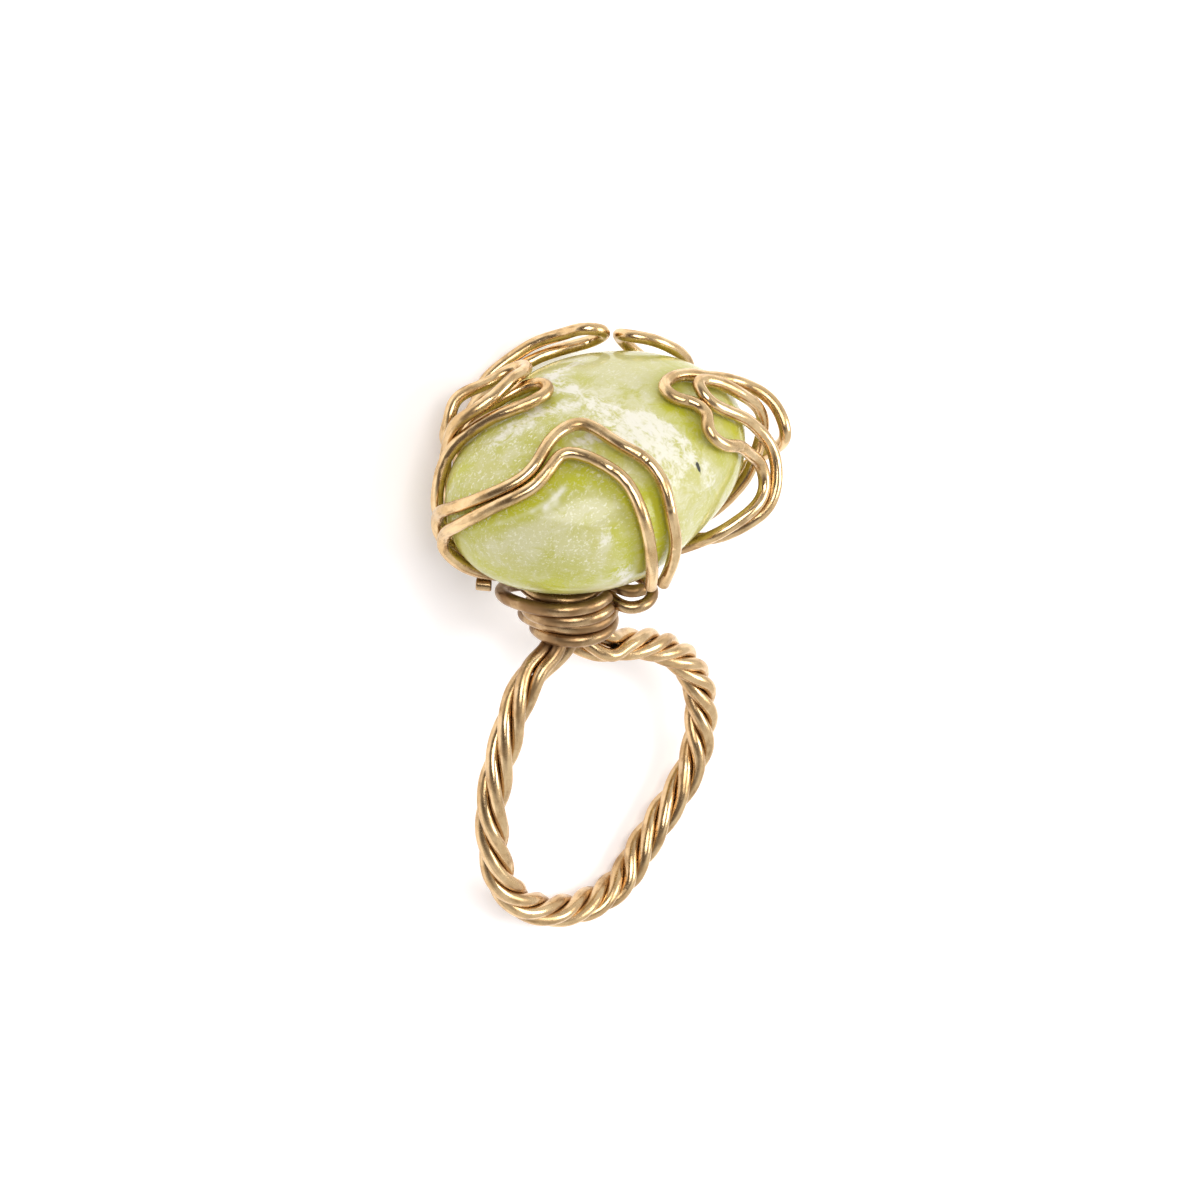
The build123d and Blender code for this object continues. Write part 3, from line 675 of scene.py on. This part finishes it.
def crevice_shade_mask(grid, name):
    """Mask of painted shade in the crevices: closeness of each point to other wires and the
    stone, exp(-(clearance / fade)^2).
    """
    others = np.vstack([line[::3] for key, line in lines.items() if key != name])
    points = grid.reshape(-1, 3)
    low, high = points.min(axis=0) - 2 * wire, points.max(axis=0) + 2 * wire
    others = others[((others > low) & (others < high)).all(axis=1)]
    closest = to_lines(points, others) - wire / 2
    out = points - stone_middle
    reach = np.linalg.norm(out, axis=1)
    rise = np.degrees(np.arcsin(np.clip(out @ stone_up / reach, -1, 1)))
    turn = np.degrees(np.arctan2(out @ stone_far, out @ stone_right))
    face = np.linalg.norm(stone_face(turn, rise) - stone_middle, axis=1)
    closest = np.minimum(closest, (reach - face) * stone_fade)
    return np.exp(-(np.maximum(closest, 0) / crevice_shade_fade) ** 2).reshape(grid.shape[:2])


def neck_age(height):
    """1 at the neck, where the wire has tarnished, easing to 0 below it and above it."""
    top = neck_base + neck_height
    return (np.clip((height - neck_base - age.start) / age.rise, 0, 1)
            * np.clip((top + age.end - height) / age.fall, 0, 1))


# Tool marks by wire: distance along it, angle round it from its outer side, depth, length
Dent = namedtuple("Dent", "along side depth length")
dents = {
    "front_claw_inner_wire": [
        Dent(30.9, 10, 0.034, 0.30), Dent(31.4, 22, 0.020, 0.22), Dent(32.3, 12, 0.030, 0.32),
        Dent(20.8, 3, 0.031, 0.7), Dent(26.4, -18, 0.038, 0.50), Dent(38.3, 23, 0.025, 0.6),
    ],
    "front_claw_outer_wire": [
        Dent(28.0, 14, 0.062, 0.15), Dent(28.6, 19, 0.068, 0.16), Dent(14.9, 12, 0.031, 0.6),
        Dent(32.3, 32, 0.037, 0.14), Dent(35.5, 48, 0.056, 0.12), Dent(22.9, 0, 0.025, 0.5),
    ],
    "right_claw_near_wire": [
        Dent(23.4, -73, 0.05, 0.18), Dent(17.7, -29, 0.056, 0.4), Dent(20.3, -78, 0.031, 0.25),
        Dent(16.9, -29, 0.037, 0.15),
    ],
    "right_claw_far_wire": [
        Dent(28.8, 134, 0.037, 0.14), Dent(29.5, 139, 0.037, 0.14), Dent(25.0, -76, 0.031, 0.25),
        Dent(30.2, 139, 0.031, 0.12),
    ],
    "left_claw_near_wire": [Dent(15.1, 63, 0.031, 0.3), Dent(19.1, 89, 0.025, 0.4)],
    "left_claw_far_wire": [
        Dent(16.2, 155, 0.028, 0.1), Dent(16.6, 155, 0.028, 0.1), Dent(17.0, 155, 0.028, 0.1),
        Dent(17.4, 155, 0.028, 0.1), Dent(17.8, 155, 0.028, 0.1), Dent(18.2, 155, 0.025, 0.1),
    ],
}
dent_reach = 38             # degrees round the wire over which a dent fades


def read_at(at, run, points):
    """The points' coordinates read between them, at distances along their line."""
    return np.stack([np.interp(at, run, points[:, k]) for k in range(3)], axis=1)


def wire_piece(name, line, hint, finish, nodes, swell=1.0):
    """Circle carried along the line: line + radius (cos(a) side + sin(a) ahead x side), where
    side is the hint made square to the line. The radius shrinks round the cut ends and, by
    depth exp(-(distance / length)^2 - (angle / reach)^2), in each dent. The line sways a
    little."""
    run = np.r_[0, np.cumsum(np.linalg.norm(np.diff(line, axis=0), axis=1))]
    ends = np.array(end_rings) * cut_round
    at = np.r_[ends, run[(run > cut_round) & (run < run[-1] - cut_round)], run[-1] - ends[::-1]]
    centre, hint = read_at(at, run, line), read_at(at, run, hint)
    ahead = unit(read_at(at, run, unit(np.gradient(line, run, axis=0))))
    side = unit(hint - ahead * (hint * ahead).sum(axis=1, keepdims=True))
    up = np.cross(ahead, side)
    inset = cut_round - np.minimum(np.minimum(at, run[-1] - at), cut_round)
    radius = wire / 2 - cut_round + np.sqrt(np.maximum(cut_round ** 2 - inset ** 2, 0))
    a = np.linspace(0, 2 * np.pi, around, endpoint=False)
    c, s = np.cos(a)[None, :, None], np.sin(a)[None, :, None]
    start = sum(map(ord, name)) % 7                 # each wire wavers from its own start
    centre = centre + sway * (np.sin(sway_rates[0] * at + start)[:, None] * side
                              + np.sin(sway_rates[1] * at + 2 * start)[:, None] * up)
    radius = swell * radius * (1 + thick_thin * np.sin(thick_rates[0] * at + start)
                               * np.sin(thick_rates[1] * at))
    press = np.zeros((len(at), around))
    for dent in dents.get(name, []):
        apart = (np.degrees(a) - dent.side + 180) % 360 - 180
        press += dent.depth * (np.exp(-((at[:, None] - dent.along) / dent.length) ** 2)
                               * np.exp(-(apart / dent_reach) ** 2))
    round_it = c * side[:, None] + s * up[:, None]
    grid = centre[:, None] + (radius[:, None] - press)[..., None] * round_it
    grain = np.stack(np.broadcast_arrays(wire / 2 * np.cos(a), wire / 2 * np.sin(a),
                                         at[:, None]), axis=-1)
    # near carries the mask of painted shade in the crevices
    return skin(name, grid, finish, nodes,
                {"grain": grain, "near": crevice_shade_mask(grid, name), "age": neck_age(grid[..., 2])})


# Angles round a rope's wire start at the finger's direction, and in the neck at the top
for n in range(4):
    line = strand_lines[n]
    rope_rings = len(strand(n)) * point_step / line_step
    share = np.clip((np.arange(len(line)) - rope_rings) / hint_rings, 0, 1)[:, None]
    hint = (1 - share) * np.array([0, 1, 0]) + share * np.array([0, 0, 1])
    wire_piece(f"rope_wire_{n + 1}", line, hint, rope_bronze,
               [f"band_strand_{n + 1}", f"neck_wire_{n + 1}"], rope_swell)
for key in claw_paths:
    line = lines[f"{key}_wire"]
    hint = np.tile([0.0, 0.0, 1.0], (len(line), 1)) if key == "side_coil" else line - stone_middle
    wire_piece(f"{key}_wire", line, hint, claw_bronze, [key])


# Stone

stone_around, stone_rings = 440, 221            # points round the stone and up it
stone_pole = 89.6           # rise of the last ring, in degrees
haze_spread = 2.6           # the haze is this much wider than the vein
wire_shade_reach = 1.4 * stone_across              # wires farther from the middle are passed over for the painted shade
wire_shade_fade = 0.85         # distance over which a wire's painted shade on the stone fades

# A soft streak of the pattern from one place of the face to another: its half width in
# millimetres and its strength
Streak = namedtuple("Streak", "turn rise to_turn to_rise width strength")
white_streaks = [
    Streak(99, 39, 118, 46, 0.5, 0.6), Streak(122, 44, 123, 65, 0.6, 0.7),
    Streak(123, 65, 336, 82, 0.8, 0.6), Streak(336, 82, 326, 66, 0.95, 0.85),
    Streak(326, 66, 322, 50, 1.10, 1.0), Streak(322, 50, 323, 38, 1.05, 0.95),
    Streak(330, 70, 346, 52, 0.7, 0.9), Streak(346, 52, 341, 38, 0.75, 0.95),
    Streak(334, 54, 333, 36, 0.9, 0.95), Streak(341, 38, 339, 24, 0.7, 0.8),
    Streak(323, 38, 318, 22, 0.7, 0.55), Streak(333, 36, 330, 22, 0.6, 0.55),
    Streak(339, 24, 343, 8, 0.6, 0.4), Streak(176, 80, 188, 57, 0.5, 0.7),
    Streak(188, 57, 197, 40, 0.5, 0.65), Streak(198, 54, 206, 32, 0.5, 0.5),
    Streak(262, 54, 290, 62, 0.7, 0.35), Streak(232, -42, 268, -46, 1.2, 0.35),
    Streak(275, 9, 280, 11, 0.40, 0.9), Streak(282, -10, 286, -8, 0.5, 0.9),
    Streak(285, -12, 292, -28, 0.5, 0.7), Streak(251, 22, 257, 29, 0.14, 1.0),
]
speck_streaks = [
    Streak(206, 20, 214, 38, 3.2, 1.0), Streak(212, 16, 222, 26, 2.4, 1.0),
    Streak(198, 38, 215, 52, 2.4, 0.7), Streak(236, 2, 262, 14, 2.4, 0.8),
    Streak(276, 22, 270, 2, 2.4, 0.7), Streak(95, 40, 60, 60, 2.2, 0.5),
    Streak(333, 10, 318, -6, 2.2, 0.6), Streak(270, 42, 290, 34, 1.4, 0.5),
]
# Streaks of clear green: the stone's own deep green, and painted shade where they run beside the
# wires
deep_and_shade_streaks = [
    Streak(224, 7, 232, 15, 0.80, 1.0), Streak(232, 15, 240, 23, 1.00, 1.0),
    Streak(240, 23, 247, 32, 1.15, 1.0), Streak(246, 36, 264, 38, 1.0, 1.0),
    Streak(264, 38, 289, 28, 1.1, 0.8), Streak(304, 22, 304, 2, 1.0, 1.0),
    Streak(293, 22, 293, 0, 0.8, 0.9), Streak(301, -6, 301, -14, 0.9, 0.8),
    Streak(8, 41, 355, 28, 1.3, 1.0), Streak(14, 20, 7, 8, 1.2, 0.9),
    Streak(186, 54, 174, 66, 0.9, 0.8), Streak(228, -8, 256, -14, 1.0, 0.8),
    Streak(256, -14, 284, -10, 0.9, 0.6), Streak(204, 20, 200, 6, 0.8, 0.6),
    Streak(282, 12, 286, -4, 0.8, 0.6),
]
pale_streaks = [
    Streak(234, 3, 245, 10, 0.8, 1.0), Streak(245, 10, 255, 17, 0.9, 1.0),
    Streak(258, 18, 268, 22, 0.9, 0.9), Streak(250, 3, 262, 7, 1.2, 0.8),
    Streak(276, 24, 280, 14, 0.9, 0.8), Streak(273, 6, 273, -3, 0.9, 0.5),
    Streak(70, 50, 20, 52, 2.6, 0.7), Streak(274, -18, 300, -24, 1.4, 0.7),
    # These rows lie low on the stone's front: they lighten its lower edge as painted light from the
    # floor, and its own paler patches
    Streak(225, -26, 262, -38, 1.5, 1.0), Streak(262, -38, 298, -40, 1.5, 1.0),
    Streak(218, -36, 250, -46, 1.3, 1.0), Streak(250, -46, 282, -48, 1.3, 1.0),
]
edge_streaks = [
    Streak(224, 4, 235, 12.5, 0.16, 0.30), Streak(235, 12.5, 246, 19.5, 0.16, 0.40),
    Streak(246, 19.5, 254, 26, 0.17, 0.55), Streak(254, 26, 257, 30, 0.20, 0.85),
    Streak(251, 21, 255, 24, 0.22, 0.75),
]
dark_streaks = [Streak(339, 20, 338.4, 18, 0.20, 1.0), Streak(338, 16.5, 337.5, 15, 0.13, 0.5),
                Streak(78, 66, 70, 67, 0.14, 0.45), Streak(222, 19, 223, 18, 0.12, 0.5)]


def streaks(points, rows, spread=1.0):
    """Sum over the rows of strength exp(-(distance to the row's line / (spread width))^2)."""
    total = np.zeros(points.shape[:-1])
    for row in rows:
        start, end = stone_face(row.turn, row.rise), stone_face(row.to_turn, row.to_rise)
        along = end - start
        share = np.clip((points - start) @ along / (along @ along), 0, 1)
        apart = np.linalg.norm(points - start - share[..., None] * along, axis=-1)
        total += row.strength * np.exp(-(apart / (spread * row.width)) ** 2)
    return np.clip(total, 0, 1)


def wire_shade(points):
    """Painted shade beside the wires: how near the stone's face is to a wire,
    exp(-((distance - radius) / fade)^2).
    """
    wires = np.vstack([line[::6] for line in lines.values()])
    wires = wires[np.linalg.norm(wires - stone_middle, axis=1) < wire_shade_reach]
    return np.exp(-(np.maximum(to_lines(points, wires) - wire / 2, 0) / wire_shade_fade) ** 2)


turns, rises = np.meshgrid(np.linspace(0, 360, stone_around, endpoint=False),
                           np.linspace(-stone_pole, stone_pole, stone_rings))
grid = stone_face(turns, rises)
axes = np.array([stone_right, stone_far, stone_up])
# Of these marks, beside is painted shade by the wires, deep partly so, and pale partly painted
# light from the floor
skin("polished_stone", grid, green_serpentine, ["stone"], {
    "stone_place": (grid - stone_middle) @ axes.T,
    "white": streaks(grid, white_streaks), "haze": streaks(grid, white_streaks, haze_spread),
    "speck": streaks(grid, speck_streaks),
    "deep_and_shade": streaks(grid, deep_and_shade_streaks), "pale": streaks(grid, pale_streaks),
    "edge": streaks(grid, edge_streaks), "dark": streaks(grid, dark_streaks),
    "beside": wire_shade(grid.reshape(-1, 3)).reshape(grid.shape[:2])})


# Floor, light and camera

def plain(name, colour, rough, glow):
    """One colour that glows a little of itself."""
    material, tree, surface = tree_of(name)
    surface.inputs["Base Color"].default_value = (*colour, 1)
    surface.inputs["Emission Color"].default_value = (*colour, 1)
    surface.inputs["Emission Strength"].default_value = glow
    surface.inputs["Roughness"].default_value = rough
    return material


floor_mesh = bpy.data.meshes.new("floor")
far = 2.0                                       # metres from the ring to the floor's sides
floor_mesh.from_pydata([(-far, -far, 0), (far, -far, 0), (far, far, 0), (-far, far, 0)], [],
                       [(0, 1, 2, 3)])
floor = bpy.data.objects.new("floor", floor_mesh)
floor_mesh.materials.append(plain("pale_floor", (0.90, 0.88, 0.89), 0.6, 0.34))
bpy.context.scene.collection.objects.link(floor)

camera_azimuth, camera_rise = -44.3, 28.5       # degrees, about the upright ring
camera_distance = 400.0                         # millimetres
focal_pixels, frame_pixels = 5600.0, 1200.0     # focal length and frame in the photo's pixels
sensor = 36.0                                   # millimetres
loop_at = (593.0, 769.0)                        # pixel where the band's middle lies


def upright_view():
    """Camera's back, right and up axes about the upright ring."""
    a, e = np.radians(camera_azimuth), np.radians(camera_rise)
    back = np.array([np.sin(a) * np.cos(e), -np.cos(a) * np.cos(e), np.sin(e)])
    right = np.array([np.cos(a), np.sin(a), 0])
    return back, right, np.cross(back, right)


view_back, view_right, view_up = upright_view()
eye = view_back * camera_distance
off_x = (frame_pixels / 2 - loop_at[0]) / focal_pixels
off_y = (loop_at[1] - frame_pixels / 2) / focal_pixels
aim = unit(-view_back + off_x * view_right + off_y * view_up)
right = unit(view_right - aim * (view_right @ aim))
up = np.cross(right, aim)
columns = np.array([right, up, -aim]) @ lying.T
camera_place = to_frame(eye[None])[0]
camera_data = bpy.data.cameras.new("photo_camera")
camera_data.sensor_width = sensor
camera_data.lens = sensor * focal_pixels / frame_pixels
camera_data.clip_start, camera_data.clip_end = 0.01, 10.0
camera = bpy.data.objects.new("photo_camera", camera_data)
camera.matrix_world = Matrix([[*columns[:, k], camera_place[k]] for k in range(3)]
                             + [[0, 0, 0, 1]])
bpy.context.scene.collection.objects.link(camera)
bpy.context.scene.camera = camera


lit_place = [0, 0, 12.0]                        # place of the upright ring that the lights face


def softbox(name, toward, distance, size, power):
    """Square light that faces the ring from a direction about the upright ring, with its
    distance and size in metres and its power in watts."""
    data = bpy.data.lights.new(name, "AREA")
    data.shape, data.size, data.energy = "SQUARE", size, power
    light = bpy.data.objects.new(name, data)
    back = unit(np.array(toward, float) @ lying.T)
    beside = unit(np.cross([0, 0, 1.0], back))
    rise = np.cross(back, beside)
    spot = to_frame(np.array([lit_place]))[0] + back * distance
    light.matrix_world = Matrix([[beside[k], rise[k], back[k], spot[k]] for k in range(3)]
                                + [[0, 0, 0, 1]])
    bpy.context.scene.collection.objects.link(light)


softbox("top_softbox", (-0.45, -0.80, 0.65), 0.70, 0.42, 2.8)
softbox("front_softbox", (0.55, -0.95, 0.15), 0.60, 0.30, 1.5)

# The room is white and darkens round the direction that the photo is taken from
room_white, room_dark, room_strength = (1.0, 1.0, 1.0), (0.13, 0.10, 0.08), 0.90
dark_from, dark_to = 0.45, 0.92                 # cosines of the angle from that direction
world = bpy.data.worlds.new("studio")
bpy.context.scene.world = world
world.use_nodes = True
sky = world.node_tree
ray = node(sky, "TexCoord").outputs["Generated"]
ahead = unit(view_back @ lying.T)
toward_eye = node(sky, "VectorMath", {0: ray, 1: tuple(ahead)}, operation="DOT_PRODUCT")
shade = band(sky, toward_eye.outputs["Value"], dark_from, dark_to)
sky.links.new(mix(sky, shade, room_white, room_dark), sky.nodes["Background"].inputs["Color"])
sky.nodes["Background"].inputs["Strength"].default_value = room_strength

bpy.context.scene.view_settings.view_transform = "Standard"
